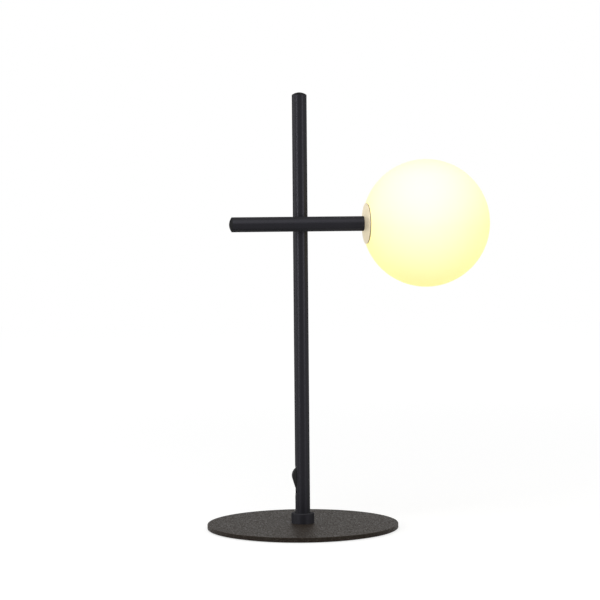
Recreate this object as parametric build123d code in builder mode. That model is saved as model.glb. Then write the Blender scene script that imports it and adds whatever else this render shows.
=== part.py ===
from build123d import *
import os
from math import cos, radians, sin, sqrt

os.makedirs("parts", exist_ok=True)

# Bedside lamp: a round plate, an upright tube, a horizontal tube across its front and an opal globe.
# Millimetres. The origin is on the table at the post's axis, +Z is up, the globe is towards +X
# and the arm passes in front of the post, towards -Y.

# Foot
pad_thickness = 1.0
pad_inset = 5.0
plate_diameter = 210.0
plate_thickness = 5.0
plate_edge_radius = 0.6
collar_diameter = 25.2
collar_height = 11.2
collar_chamfer = 0.5
collar_screw_diameter = 3.0
collar_screw_recess = 0.5
collar_screw_key = 1.5
foot_screw_diameter = 8.0
foot_screw_head = 15.0
foot_screw_length = 18.0
foot_screw_recess = 0.2
foot_screw_key = 5.0
foot_screw_key_depth = 3.0
foot_plug_length = 16.0

# Tubes, with their coat
tube_diameter = 16.2
tube_wall = 1.2
post_length = 469.5
arm_height = 334.7
arm_reach_left = 78.3
arm_length = 145.0
plug_dome = 2.8
plug_spigot_length = 9.0
plug_spigot_wall = 1.6

# Cord entry at the post's rear
cable_height = 28.0
cable_bore = 6.4
cable_bush_wall = 1.0
cable_flange_width = 1.6
cable_flange_height = 1.3
cable_bush_lip = 1.5

# Rocker switch on the post's left side
switch_height = 53.0
pivot_depth = 4.6
rocker_tilt = 17.0
rocker_face = 6.4
rocker_nose = 4.7
rocker_end_radius = 10.1
rocker_tail = 0.2
rocker_hub = 2.2
rocker_width = 6.6
rocker_edge_radius = 0.5
rocker_pin_diameter = 2.0
rocker_pin_inset = 0.4
slot_corner_radius = 1.2
switch_front_depth = 2.9
switch_floor = 1.1
switch_lug_length = 1.9
switch_lug_recess = 0.15
switch_end_wall = 1.5
terminal_thickness = 0.8
terminal_width = 3.0
terminal_length = 5.0

# Crossing of post and arm
saddle_thickness = 2.0
saddle_diameter = 13.0
nipple_diameter = 10.0
nipple_bore = 7.0
nipple_proud = 0.4
nut_thickness = 3.3
nut_length = 14.0

# Head
cap_diameter = 45.0
cap_dome_radius = 80.0
cap_edge = 0.3
cap_edge_radius = 0.25
gasket_width = 3.2
gasket_thickness = 1.0
carrier_diameter = 36.0
carrier_wall = 1.6
carrier_floor = 1.5
carrier_length = 10.5
head_bush_length = 12.0
head_nut_flats = 14.0
head_nut_thickness = 3.0
bracket_thickness = 1.0
bracket_width = 7.0
bracket_foot_diameter = 15.0
bracket_lap = 9.5
bracket_screw_place = 5.5
bracket_screw_diameter = 3.0
bracket_screw_head = 5.4
bracket_screw_head_height = 1.8
bracket_screw_bite = 4.0

# Lampholder and its contacts
holder_gap = 7.5
holder_width = 22.0
holder_depth = 14.0
holder_length = 20.0
holder_corner_radius = 3.0
holder_edge = 0.8
pin_spacing = 9.0
pin_slot_depth = 14.0
pin_slot_width = 2.6
pin_slot_height = 4.4
contact_thickness = 0.4
contact_gap = 1.2
contact_height = 3.2
contact_length = 11.0

# Globe
globe_diameter = 140.0
globe_wall = 3.0
globe_rim_diameter = 46.6
globe_rim_radius = 0.4
globe_neck_wall = 2.6
globe_neck_length = 10.5

# Bulb
bulb_seat_gap = 0.3
bulb_base_diameter = 14.0
bulb_base_length = 12.0
bulb_diameter = 16.0
bulb_length = 48.0
bulb_wall = 1.2
bulb_lap = 2.0
bulb_core_diameter = 6.0
bulb_core_gap = 4.0
bulb_pin_wire = 0.8
bulb_pin_loop = 2.2
bulb_pin_length = 12.5
bulb_pin_root = 3.0

# Inner leads
lead_diameter = 2.0
lead_pitch = 2.4
lead_wall_gap = 0.9
lead_turn = 4.6
lead_bend_length = 60.0
lead_bend_rise = 6.0
lead_shift_start = 14.0
lead_shift_length = 24.0
lead_entry = 4.5
lead_hole_clearance = 0.25
splice_diameter = 3.4
splice_length = 9.0
splice_forward = 2.0
splice_rise = 2.0

# Clearances
seat_clearance = 0.05
pin_clearance = 0.05
moving_clearance = 0.3
thread_clearance = 0.35

# Heights, radii and places that follow from the sizes
tube_r = tube_diameter / 2
bore_r = tube_r - tube_wall
plate_top = pad_thickness + plate_thickness
post_top = plate_top + post_length
arm_y = -(tube_diameter + saddle_thickness)
arm_start = -arm_reach_left
arm_end = arm_start + arm_length
nipple_r = nipple_diameter / 2
nipple_hole_r = nipple_r + seat_clearance
globe_r = globe_diameter / 2

# Cross-sections and profiles along the arm
arm_section = Plane(origin=(0, arm_y, arm_height), x_dir=(0, 1, 0), z_dir=(1, 0, 0))
arm_profile = Plane(origin=(0, arm_y, arm_height), x_dir=(1, 0, 0), z_dir=(0, -1, 0))
arm_axis = Axis((0, arm_y, arm_height), (1, 0, 0))
cross_section = Plane(origin=(0, 0, arm_height), x_dir=(1, 0, 0), z_dir=(0, -1, 0))


# Base pad: soft disc under the plate, set in from its edge
with BuildPart() as base_pad:
    with BuildSketch():
        Circle(plate_diameter / 2 - pad_inset)
    extrude(amount=pad_thickness)
base_pad.part.label = "base_pad"

# Base plate: steel disc with eased edges and a countersunk hole from below
foot_head_r = foot_screw_head / 2
foot_screw_r = foot_screw_diameter / 2
with BuildPart() as base_plate:
    with BuildSketch(Plane.XY.offset(pad_thickness)):
        Circle(plate_diameter / 2)
    extrude(amount=plate_thickness)
    fillet(base_plate.edges().filter_by(GeomType.CIRCLE), plate_edge_radius)
    with Locations(Plane(origin=(0, 0, pad_thickness), z_dir=(0, 0, -1))):
        CounterSinkHole(
            radius=foot_screw_r + 4 * seat_clearance,
            counter_sink_radius=foot_head_r + foot_screw_recess + 2 * seat_clearance,
            counter_sink_angle=90,
        )
base_plate.part.label = "base_plate"

# Foot screw: countersunk head below, hexagon socket, plain shank
foot_screw_z = pad_thickness + foot_screw_recess
foot_cone = foot_head_r - foot_screw_r
with BuildPart() as foot_screw:
    with BuildSketch(Plane.XZ):
        with BuildLine():
            Polyline(
                (0, foot_screw_z),
                (foot_head_r, foot_screw_z),
                (foot_screw_r, foot_screw_z + foot_cone),
                (foot_screw_r, foot_screw_z + foot_screw_length),
                (0, foot_screw_z + foot_screw_length),
                close=True,
            )
        make_face()
    revolve(axis=Axis.Z)
    with BuildSketch(Plane.XY.offset(foot_screw_z)):
        RegularPolygon(radius=foot_screw_key / 2, side_count=6, major_radius=False)
    extrude(amount=foot_screw_key_depth, mode=Mode.SUBTRACT)
foot_screw.part.label = "foot_screw"

# Foot plug: steel plug in the tube's lower end, tapped for the foot screw
with BuildPart() as foot_plug:
    with BuildSketch(Plane.XY.offset(plate_top)):
        Circle(bore_r - seat_clearance)
        Circle(foot_screw_r + seat_clearance, mode=Mode.SUBTRACT)
    extrude(amount=foot_plug_length)
foot_plug.part.label = "foot_plug"

# Base collar: ring around the post, chamfered on top, with a radial hole for its grub screw
collar_r = collar_diameter / 2
collar_bore_r = tube_r + seat_clearance
collar_screw_r = collar_screw_diameter / 2
collar_rear = Plane(origin=(0, 0, plate_top + collar_height / 2), x_dir=(1, 0, 0), z_dir=(0, 1, 0))
with BuildPart() as base_collar:
    with BuildSketch(Plane.XY.offset(plate_top)):
        Circle(collar_r)
        Circle(collar_bore_r, mode=Mode.SUBTRACT)
    extrude(amount=collar_height)
    chamfer(base_collar.edges().group_by(Axis.Z)[-1].sort_by(SortBy.RADIUS)[-1], collar_chamfer)
    with BuildSketch(collar_rear):
        Circle(collar_screw_r + seat_clearance)
    extrude(amount=collar_diameter, mode=Mode.SUBTRACT)
base_collar.part.label = "base_collar"

# Collar screw: grub screw against the post, below the collar's surface
collar_screw_length = collar_r - collar_bore_r - collar_screw_recess
with BuildPart() as collar_screw:
    with BuildSketch(collar_rear.offset(collar_bore_r)):
        Circle(collar_screw_r)
    extrude(amount=collar_screw_length)
    with BuildSketch(collar_rear.offset(collar_bore_r + collar_screw_length)):
        RegularPolygon(radius=collar_screw_key / 2, side_count=6, major_radius=False)
    extrude(amount=-collar_screw_length / 2, mode=Mode.SUBTRACT)
collar_screw.part.label = "collar_screw"

# Rocker sizes that the slot and the housing follow
pivot_x = -(tube_r - pivot_depth)
pivot_out = -pivot_x
tilt_sin = sin(radians(rocker_tilt))
tilt_cos = cos(radians(rocker_tilt))
arc_rise = rocker_end_radius - rocker_face - rocker_tail
rocker_end = rocker_nose + sqrt(rocker_end_radius**2 - arc_rise**2)
rocker_sweep = sqrt(rocker_end**2 + rocker_tail**2)
cavity_half = rocker_sweep + moving_clearance
cavity_floor = pivot_out - rocker_end * tilt_sin - rocker_tail * tilt_cos - 2 * moving_clearance
slot_width = rocker_width + 2 * moving_clearance
slot_half = cavity_half + switch_lug_length + seat_clearance
switch_half = slot_half + switch_end_wall
switch_front = tube_r - switch_front_depth
switch_back = switch_floor - cavity_floor

# Post tube: slot for the rocker, hole for the cord, hole for the crossing's nipple
cable_bore_r = cable_bore / 2
cable_bush_r = cable_bore_r + cable_bush_wall
cable_rear = Plane(origin=(0, 0, cable_height), x_dir=(1, 0, 0), z_dir=(0, 1, 0))
switch_side = Plane(origin=(0, 0, switch_height), x_dir=(0, 0, 1), z_dir=(-1, 0, 0))
with BuildPart() as post_tube:
    with BuildSketch(Plane.XY.offset(plate_top)):
        Circle(tube_r)
        Circle(bore_r, mode=Mode.SUBTRACT)
    extrude(amount=post_length)
    with BuildSketch(switch_side):
        RectangleRounded(2 * slot_half, slot_width, slot_corner_radius)
    extrude(amount=tube_diameter, mode=Mode.SUBTRACT)
    with BuildSketch(cable_rear):
        Circle(cable_bush_r + seat_clearance)
    extrude(amount=tube_diameter, mode=Mode.SUBTRACT)
    with BuildSketch(cross_section):
        Circle(nipple_hole_r)
    extrude(amount=tube_diameter, mode=Mode.SUBTRACT)
post_tube.part.label = "post_tube"


def domed_plug(seat: Plane) -> Part:
    """A moulded plug whose dome covers a tube's end and whose hollow spigot fills the bore."""
    spigot_r = bore_r - seat_clearance
    side = Plane(origin=seat.origin, x_dir=seat.x_dir, z_dir=-seat.y_dir)
    with BuildPart() as plug:
        with BuildSketch(side):
            with BuildLine():
                TangentArc((0, plug_dome), (tube_r, 0), tangent=(1, 0))
                Polyline(
                    (tube_r, 0),
                    (spigot_r, 0),
                    (spigot_r, -plug_spigot_length),
                    (spigot_r - plug_spigot_wall, -plug_spigot_length),
                    (spigot_r - plug_spigot_wall, 0),
                    (0, 0),
                    (0, plug_dome),
                )
            make_face()
        revolve(axis=Axis(seat.origin, seat.z_dir))
    return plug.part


# Domed plugs of the post's top and the arm's left end
post_plug = domed_plug(Plane.XY.offset(post_top))
post_plug.label = "post_plug"
arm_plug = domed_plug(Plane(origin=(arm_start, arm_y, arm_height), x_dir=(0, 1, 0), z_dir=(-1, 0, 0)))
arm_plug.label = "arm_plug"

# Cable bush: sleeve through the wall with a flange that follows the tube
cable_inner = bore_r - cable_bush_lip
cable_outer = tube_r + cable_flange_height
with BuildPart() as cable_bush:
    with BuildSketch(cable_rear):
        Circle(cable_bush_r + cable_flange_width)
    extrude(amount=cable_outer)
    with BuildSketch(Plane.XY.offset(cable_height - tube_diameter)):
        Circle(tube_r + seat_clearance)
    extrude(amount=2 * tube_diameter, mode=Mode.SUBTRACT)
    fillet(cable_bush.edges().group_by(Axis.Y)[-1], cable_flange_height / 3)
    with BuildSketch(cable_rear.offset(cable_inner)):
        Circle(cable_bush_r)
    extrude(amount=tube_r - cable_inner + cable_flange_height / 2)
    with BuildSketch(cable_rear):
        Circle(cable_bore_r)
    extrude(amount=tube_diameter, mode=Mode.SUBTRACT)
cable_bush.part.label = "cable_bush"

# Switch housing: moulded carrier that fills the bore behind the slot, with two lugs in the slot's ends
pin_r = rocker_pin_diameter / 2
housing_r = bore_r - seat_clearance
pivot_side = Plane(origin=(pivot_x, 0, switch_height), x_dir=(1, 0, 0), z_dir=(0, 1, 0))
with BuildPart() as switch_housing:
    with BuildSketch(switch_side):
        RectangleRounded(
            2 * (slot_half - seat_clearance), slot_width - 2 * seat_clearance, slot_corner_radius
        )
    extrude(amount=tube_diameter)
    with BuildSketch(Plane.XY.offset(switch_height - switch_half)):
        Circle(tube_r - switch_lug_recess)
    extrude(amount=2 * switch_half, mode=Mode.INTERSECT)
    with BuildSketch(Plane.XY.offset(switch_height - switch_half)):
        Circle(housing_r)
        with Locations(((switch_back - switch_front) / 2, 0)):
            Rectangle(switch_front + switch_back, tube_diameter, mode=Mode.INTERSECT)
    extrude(amount=2 * switch_half)
    with BuildSketch(switch_side.offset(cavity_floor)):
        Rectangle(2 * cavity_half, slot_width)
    extrude(amount=tube_diameter, mode=Mode.SUBTRACT)
    with BuildSketch(pivot_side):
        Circle(pin_r + seat_clearance)
    extrude(amount=tube_diameter, both=True, mode=Mode.SUBTRACT)
switch_housing.part.label = "switch_housing"

# Rocker: flat face between two rounded ends, tilted so that its upper end stands out
rocker_plane = Plane(
    origin=(pivot_x, 0, switch_height), x_dir=(-tilt_sin, 0, tilt_cos), z_dir=(0, -1, 0)
)
with BuildPart() as switch_rocker:
    with BuildSketch(rocker_plane):
        with BuildLine():
            Line((0, rocker_face), (rocker_nose, rocker_face))
            TangentArc((rocker_nose, rocker_face), (rocker_end, -rocker_tail), tangent=(1, 0))
            Polyline((rocker_end, -rocker_tail), (rocker_hub, -rocker_hub), (0, -rocker_hub))
            mirror(about=Plane.YZ)
        make_face()
    extrude(amount=rocker_width / 2, both=True)
    fillet(switch_rocker.faces().filter_by(Axis.Y).edges(), rocker_edge_radius)
    with BuildSketch(pivot_side):
        Circle(pin_r + pin_clearance)
    extrude(amount=tube_diameter, both=True, mode=Mode.SUBTRACT)
switch_rocker.part.label = "switch_rocker"

# Rocker pin: held in the housing's two cheeks
pin_half = sqrt(housing_r**2 - (pivot_out + pin_r) ** 2) - rocker_pin_inset
with BuildPart() as switch_pin:
    with BuildSketch(pivot_side):
        Circle(pin_r)
    extrude(amount=pin_half, both=True)
switch_pin.part.label = "switch_pin"

# Switch terminals: two brass tabs, one on each end of the housing
terminal_x = switch_back / 2 - switch_front / 2
with BuildPart() as switch_terminals:
    for end, way in ((switch_height - switch_half, -1), (switch_height + switch_half, 1)):
        with BuildSketch(Plane.XY.offset(end)):
            with Locations((terminal_x, 0)):
                Rectangle(terminal_thickness, terminal_width)
        extrude(amount=way * terminal_length)
switch_terminals.part.label = "switch_terminals"

# Cross saddle: spacer hollowed on one side to the post and on the other to the arm
with BuildPart() as cross_saddle:
    with BuildSketch(cross_section):
        Circle(saddle_diameter / 2)
        Circle(nipple_hole_r, mode=Mode.SUBTRACT)
    extrude(amount=-arm_y)
    with BuildSketch(Plane.XY.offset(arm_height - tube_diameter)):
        Circle(tube_r + seat_clearance)
    extrude(amount=2 * tube_diameter, mode=Mode.SUBTRACT)
    with BuildSketch(arm_section.offset(-tube_diameter)):
        Circle(tube_r + seat_clearance)
    extrude(amount=2 * tube_diameter, mode=Mode.SUBTRACT)
cross_saddle.part.label = "cross_saddle"

# Cross nipple: hollow nipple from the post's bore to the arm's bore
nut_flat = bore_r - nut_thickness
nipple_in = nut_flat - nipple_proud
with BuildPart() as cross_nipple:
    with BuildSketch(cross_section.offset(nipple_in)):
        Circle(nipple_r)
        Circle(nipple_bore / 2, mode=Mode.SUBTRACT)
    extrude(amount=-arm_y - 2 * nipple_in)
cross_nipple.part.label = "cross_nipple"

# Half-round nuts inside the two tubes
with BuildPart() as post_nut:
    with BuildSketch(Plane.XY.offset(arm_height - nut_length / 2)):
        Circle(bore_r - seat_clearance)
        with Locations((0, -nut_flat - tube_r)):
            Rectangle(tube_diameter, tube_diameter, mode=Mode.INTERSECT)
    extrude(amount=nut_length)
    with BuildSketch(cross_section):
        Circle(nipple_hole_r)
    extrude(amount=tube_diameter, mode=Mode.SUBTRACT)
post_nut.part.label = "post_nut"

with BuildPart() as arm_nut:
    with BuildSketch(arm_section.offset(-nut_length / 2)):
        Circle(bore_r - seat_clearance)
        with Locations((nut_flat + tube_r, 0)):
            Rectangle(tube_diameter, tube_diameter, mode=Mode.INTERSECT)
    extrude(amount=nut_length)
    with BuildSketch(cross_section):
        Circle(nipple_hole_r)
    extrude(amount=-arm_y, mode=Mode.SUBTRACT)
arm_nut.part.label = "arm_nut"

# Arm tube: hole on its rear side for the crossing's nipple
with BuildPart() as arm_tube:
    with BuildSketch(arm_section.offset(arm_start)):
        Circle(tube_r)
        Circle(bore_r, mode=Mode.SUBTRACT)
    extrude(amount=arm_length)
    with BuildSketch(cross_section):
        Circle(nipple_hole_r)
    extrude(amount=-arm_y, mode=Mode.SUBTRACT)
arm_tube.part.label = "arm_tube"

# Head bush: tapped bush in the arm's right end
with BuildPart() as head_bush:
    with BuildSketch(arm_section.offset(arm_end - head_bush_length)):
        Circle(bore_r - seat_clearance)
        Circle(nipple_hole_r, mode=Mode.SUBTRACT)
    extrude(amount=head_bush_length)
head_bush.part.label = "head_bush"

# Places along the head, from the arm's end to the right
cap_r = cap_diameter / 2
carrier_r = carrier_diameter / 2
dome_centre = arm_end + sqrt(cap_dome_radius**2 - tube_r**2)
cap_rim = dome_centre - sqrt(cap_dome_radius**2 - cap_r**2)
cap_back = cap_rim + cap_edge
gasket_face = cap_back + gasket_thickness
gasket_in = carrier_r + thread_clearance + moving_clearance
gasket_out = gasket_in + gasket_width
bracket_foot = cap_back + carrier_floor
head_nut_seat = bracket_foot + bracket_thickness
head_nut_end = head_nut_seat + head_nut_thickness
head_nipple_start = arm_end - head_bush_length - nipple_proud
head_nipple_end = head_nut_end + nipple_proud
holder_back = head_nipple_end + holder_gap
holder_front = holder_back + holder_length

# Head nipple: carries cap, carrier and bracket on the arm
with BuildPart() as head_nipple:
    with BuildSketch(arm_section.offset(head_nipple_start)):
        Circle(nipple_r)
        Circle(nipple_bore / 2, mode=Mode.SUBTRACT)
    extrude(amount=head_nipple_end - head_nipple_start)
head_nipple.part.label = "head_nipple"

# Globe cap: turned disc with a shallow dome and a rounded rim, which closes the globe
with BuildPart() as globe_cap:
    with BuildSketch(arm_profile) as cap_section:
        with BuildLine():
            Line((arm_end, nipple_hole_r), (arm_end, tube_r))
            RadiusArc((arm_end, tube_r), (cap_rim, cap_r), cap_dome_radius)
            Polyline(
                (cap_rim, cap_r),
                (cap_back, cap_r),
                (cap_back, nipple_hole_r),
                (arm_end, nipple_hole_r),
            )
        make_face()
        fillet(cap_section.vertices().group_by(Axis.Y)[-1].sort_by(Axis.X)[0], cap_edge_radius)
    revolve(axis=arm_axis)
globe_cap.part.label = "globe_cap"

# Globe carrier: cup with the globe's thread outside and the lampholder's bracket inside
with BuildPart() as globe_carrier:
    with BuildSketch(arm_section.offset(cap_back)):
        Circle(carrier_r)
        Circle(nipple_hole_r, mode=Mode.SUBTRACT)
    extrude(amount=carrier_length)
    with BuildSketch(arm_section.offset(bracket_foot)):
        Circle(carrier_r - carrier_wall)
    extrude(amount=carrier_length, mode=Mode.SUBTRACT)
    fillet(globe_carrier.edges().group_by(Axis.X)[-1], carrier_wall / 4)
globe_carrier.part.label = "globe_carrier"

# Lampholder bracket: strip with a round foot on the nipple and two legs beside the ceramic
leg_in = holder_width / 2 + seat_clearance
leg_out = leg_in + bracket_thickness
screw_x = holder_back + bracket_screw_place
bracket_screw_r = bracket_screw_diameter / 2
bracket_sides = Plane(origin=(screw_x, arm_y, arm_height), x_dir=(1, 0, 0), z_dir=(0, 1, 0))
with BuildPart() as lampholder_bracket:
    with BuildSketch(arm_section.offset(bracket_foot)):
        Rectangle(2 * leg_out, bracket_width)
        Circle(bracket_foot_diameter / 2)
        Circle(nipple_hole_r, mode=Mode.SUBTRACT)
    extrude(amount=bracket_thickness)
    with BuildSketch(arm_section.offset(bracket_foot)):
        with Locations((leg_in + bracket_thickness / 2, 0), (-leg_in - bracket_thickness / 2, 0)):
            Rectangle(bracket_thickness, bracket_width)
    extrude(amount=holder_back + bracket_lap - bracket_foot)
    with BuildSketch(bracket_sides):
        Circle(bracket_screw_r + seat_clearance)
    extrude(amount=holder_width, both=True, mode=Mode.SUBTRACT)
lampholder_bracket.part.label = "lampholder_bracket"

# Head nut
with BuildPart() as head_nut:
    with BuildSketch(arm_section.offset(head_nut_seat)):
        RegularPolygon(radius=head_nut_flats / 2, side_count=6, major_radius=False)
        Circle(nipple_hole_r, mode=Mode.SUBTRACT)
    extrude(amount=head_nut_thickness)
head_nut.part.label = "head_nut"

# Lampholder: ceramic block with two slots for the bulb's loops and two holes for the leads
lead_r = lead_diameter / 2
with BuildPart() as lampholder:
    with BuildSketch(arm_section.offset(holder_back)):
        RectangleRounded(holder_width, holder_depth, holder_corner_radius)
    extrude(amount=holder_length)
    chamfer(lampholder.faces().sort_by(Axis.X)[-1].edges(), holder_edge)
    with BuildSketch(arm_section.offset(holder_front)):
        with GridLocations(pin_spacing, 0, 2, 1):
            Rectangle(pin_slot_width, pin_slot_height)
    extrude(amount=-pin_slot_depth, mode=Mode.SUBTRACT)
    with BuildSketch(arm_section.offset(holder_back)):
        with GridLocations(pin_spacing, 0, 2, 1):
            Circle(lead_r + lead_hole_clearance)
    extrude(amount=holder_length - pin_slot_depth, mode=Mode.SUBTRACT)
    with BuildSketch(bracket_sides.offset(holder_width / 2)):
        Circle(bracket_screw_r + seat_clearance)
    extrude(amount=-bracket_screw_bite - seat_clearance, mode=Mode.SUBTRACT)
    with BuildSketch(bracket_sides.offset(-holder_width / 2)):
        Circle(bracket_screw_r + seat_clearance)
    extrude(amount=bracket_screw_bite + seat_clearance, mode=Mode.SUBTRACT)
lampholder.part.label = "lampholder"

# Bracket screws: two cheese-head screws into the ceramic's sides
with BuildPart() as bracket_screws:
    for way in (1, -1):
        with BuildSketch(bracket_sides.offset(way * leg_out)):
            Circle(bracket_screw_head / 2)
        extrude(amount=way * bracket_screw_head_height)
        with BuildSketch(bracket_sides.offset(way * leg_out)):
            Circle(bracket_screw_r)
        extrude(amount=-way * (leg_out - holder_width / 2 + bracket_screw_bite))
bracket_screws.part.label = "bracket_screws"

# Lampholder contacts: two folded brass springs at the slots' floors
slot_floor = holder_front - pin_slot_depth
contact_reach = contact_gap / 2 + contact_thickness
with BuildPart() as lampholder_contacts:
    with BuildSketch(arm_section.offset(slot_floor)):
        with GridLocations(pin_spacing, 0, 2, 1):
            Rectangle(2 * contact_reach, contact_height)
    extrude(amount=contact_length)
    with BuildSketch(arm_section.offset(slot_floor + contact_thickness)):
        with GridLocations(pin_spacing, 0, 2, 1):
            Rectangle(contact_gap, contact_height)
    extrude(amount=contact_length, mode=Mode.SUBTRACT)
lampholder_contacts.part.label = "lampholder_contacts"

# Globe gasket: flat ring between the cap and the glass rim, seen in the seam
with BuildPart() as globe_gasket:
    with BuildSketch(arm_section.offset(cap_back)):
        Circle(gasket_out)
        Circle(gasket_in, mode=Mode.SUBTRACT)
    extrude(amount=gasket_thickness)
globe_gasket.part.label = "globe_gasket"

# Globe: blown opal sphere with an inward neck that screws on the carrier
globe_rim_r = globe_rim_diameter / 2
globe_bore_r = carrier_r + thread_clearance
neck_r = globe_bore_r + globe_neck_wall
globe_inner_r = globe_r - globe_wall
globe_x = gasket_face + sqrt(globe_r**2 - globe_rim_r**2)
neck_end = gasket_face + globe_neck_length
neck_root = globe_x - sqrt(globe_inner_r**2 - neck_r**2)
with BuildPart() as globe:
    with BuildSketch(arm_profile):
        with BuildLine():
            ThreePointArc((gasket_face, globe_rim_r), (globe_x, globe_r), (globe_x + globe_r, 0))
            Line((globe_x + globe_r, 0), (globe_x + globe_inner_r, 0))
            ThreePointArc((globe_x + globe_inner_r, 0), (globe_x, globe_inner_r), (neck_root, neck_r))
            Polyline(
                (neck_root, neck_r),
                (neck_end, neck_r),
                (neck_end, globe_bore_r),
                (gasket_face, globe_bore_r),
                (gasket_face, globe_rim_r),
            )
        make_face()
    revolve(axis=arm_axis)
    face_edges = globe.edges().filter_by(GeomType.CIRCLE).group_by(Axis.X)[0]
    fillet(face_edges.sort_by(SortBy.RADIUS)[-1], globe_rim_radius)
globe.part.label = "globe"

# Bulb base: stepped body that sits on the lampholder
bulb_start = holder_front + bulb_seat_gap
bulb_shoulder = bulb_start + bulb_base_length
bulb_end = bulb_start + bulb_length
bulb_r = bulb_diameter / 2
bulb_inner_r = bulb_r - bulb_wall
with BuildPart() as bulb_base:
    with BuildSketch(arm_section.offset(bulb_start)):
        Circle(bulb_base_diameter / 2)
    extrude(amount=bulb_base_length)
    with BuildSketch(arm_section.offset(bulb_shoulder)):
        Circle(bulb_inner_r - seat_clearance)
    extrude(amount=bulb_lap)
    fillet(bulb_base.edges().group_by(Axis.X)[0], holder_edge)
    with BuildSketch(arm_section.offset(bulb_start)):
        with GridLocations(pin_spacing, bulb_pin_loop, 2, 2):
            Circle(bulb_pin_wire / 2 + seat_clearance)
    extrude(amount=bulb_pin_root, mode=Mode.SUBTRACT)
bulb_base.part.label = "bulb_base"

# Bulb pins: two wire loops
pin_r_wire = bulb_pin_wire / 2
loop_r = bulb_pin_loop / 2
pin_bend = bulb_start - bulb_pin_length + loop_r
pin_top = bulb_start + bulb_pin_root
pins = []
for pin_y in (-pin_spacing / 2, pin_spacing / 2):
    pin_plane = Plane(origin=(0, arm_y + pin_y, arm_height), x_dir=(1, 0, 0), z_dir=(0, -1, 0))
    with BuildPart() as pin:
        with BuildLine(pin_plane) as loop:
            Line((pin_top, loop_r), (pin_bend, loop_r))
            ThreePointArc((pin_bend, loop_r), (pin_bend - loop_r, 0), (pin_bend, -loop_r))
            Line((pin_bend, -loop_r), (pin_top, -loop_r))
        with BuildSketch(Plane(origin=loop.wire() @ 0, z_dir=loop.wire() % 0)):
            Circle(pin_r_wire)
        sweep(path=loop.wire())
    pins.append(pin.part.solid())
bulb_pins = Compound(label="bulb_pins", children=pins)

# Bulb core: hexagonal stick that carries the diodes
with BuildPart() as bulb_core:
    with BuildSketch(arm_section.offset(bulb_shoulder + bulb_lap)):
        RegularPolygon(radius=bulb_core_diameter / 2, side_count=6)
    extrude(amount=bulb_end - bulb_wall - bulb_core_gap - bulb_shoulder - bulb_lap)
bulb_core.part.label = "bulb_core"

# Bulb envelope: frosted tube with a round end
with BuildPart() as bulb_envelope:
    with BuildSketch(arm_profile):
        with BuildLine():
            Line((bulb_shoulder, bulb_inner_r), (bulb_shoulder, bulb_r))
            Line((bulb_shoulder, bulb_r), (bulb_end - bulb_r, bulb_r))
            TangentArc((bulb_end - bulb_r, bulb_r), (bulb_end, 0), tangent=(1, 0))
            Line((bulb_end, 0), (bulb_end - bulb_wall, 0))
            TangentArc(
                (bulb_end - bulb_r, bulb_inner_r),
                (bulb_end - bulb_wall, 0),
                tangent=(1, 0),
            )
            Line((bulb_end - bulb_r, bulb_inner_r), (bulb_shoulder, bulb_inner_r))
        make_face()
    revolve(axis=arm_axis)
bulb_envelope.part.label = "bulb_envelope"

# Routes of the two leads: up the post, through the crossing, along the arm and into the lampholder
lead_half = lead_pitch / 2
post_run = bore_r - lead_r - lead_wall_gap
post_turn_end = lead_half - nipple_in
post_turn = post_run - post_turn_end
arm_turn_y = arm_y + nipple_in - nipple_proud
arm_turn_x = lead_half + lead_turn
shift_start = arm_turn_x + lead_shift_start
shift_end = shift_start + lead_shift_length
fan_start = head_nipple_end + nipple_proud
fan_end = holder_back + nipple_proud
lead_stop = holder_back + lead_entry
switch_top = switch_height + switch_half + terminal_length
splice_x = (switch_back + bore_r) / 2
splice_base = plate_top + foot_plug_length + splice_rise
splice_top = splice_base + splice_length
bend_start = switch_top + lead_bend_rise
bend_end = bend_start + lead_bend_length


def lead(foot: Vector, side: int) -> Part:
    """One lead from its foot in the post to the lampholder; side -1 is the outer lead of the turn."""
    start = Vector(foot)
    low = Vector(start.X, start.Y, bend_start)
    high = Vector(side * lead_half, post_run, bend_end)
    under = Vector(high.X, high.Y, arm_height - post_turn)
    over = Vector(high.X, post_turn_end, arm_height)
    turn_in = Vector(high.X, arm_turn_y, arm_height)
    turn_r = arm_turn_x - side * lead_half
    turn_out = Vector(arm_turn_x, arm_turn_y - turn_r, arm_height)
    shift_a = Vector(shift_start, turn_out.Y, arm_height)
    shift_b = Vector(shift_end, arm_y + side * lead_half, arm_height)
    fan_a = Vector(fan_start, shift_b.Y, arm_height)
    fan_b = Vector(fan_end, arm_y + side * pin_spacing / 2, arm_height)
    stop = Vector(lead_stop, fan_b.Y, arm_height)
    with BuildPart() as wire:
        with BuildLine() as route:
            Line(start, low)
            rise_one = TangentArc(low, (low + high) / 2, tangent=(0, 0, 1))
            TangentArc((low + high) / 2, high, tangent=rise_one % 1)
            Line(high, under)
            TangentArc(under, over, tangent=(0, 0, 1))
            Line(over, turn_in)
            TangentArc(turn_in, turn_out, tangent=(0, -1, 0))
            Line(turn_out, shift_a)
            shift_one = TangentArc(shift_a, (shift_a + shift_b) / 2, tangent=(1, 0, 0))
            TangentArc((shift_a + shift_b) / 2, shift_b, tangent=shift_one % 1)
            Line(shift_b, fan_a)
            fan_one = TangentArc(fan_a, (fan_a + fan_b) / 2, tangent=(1, 0, 0))
            TangentArc((fan_a + fan_b) / 2, fan_b, tangent=fan_one % 1)
            Line(fan_b, stop)
        with BuildSketch(Plane(origin=start, z_dir=(0, 0, 1))):
            Circle(lead_r)
        sweep(path=route.wire())
    return wire.part


# Live lead from the switch's upper tab, neutral lead from its splice past the housing's flat back
live_lead = lead(Vector(terminal_x, 0, switch_top), -1)
live_lead.label = "live_lead"
neutral_lead = lead(Vector(splice_x, -splice_forward, splice_top), 1)
neutral_lead.label = "neutral_lead"

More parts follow.
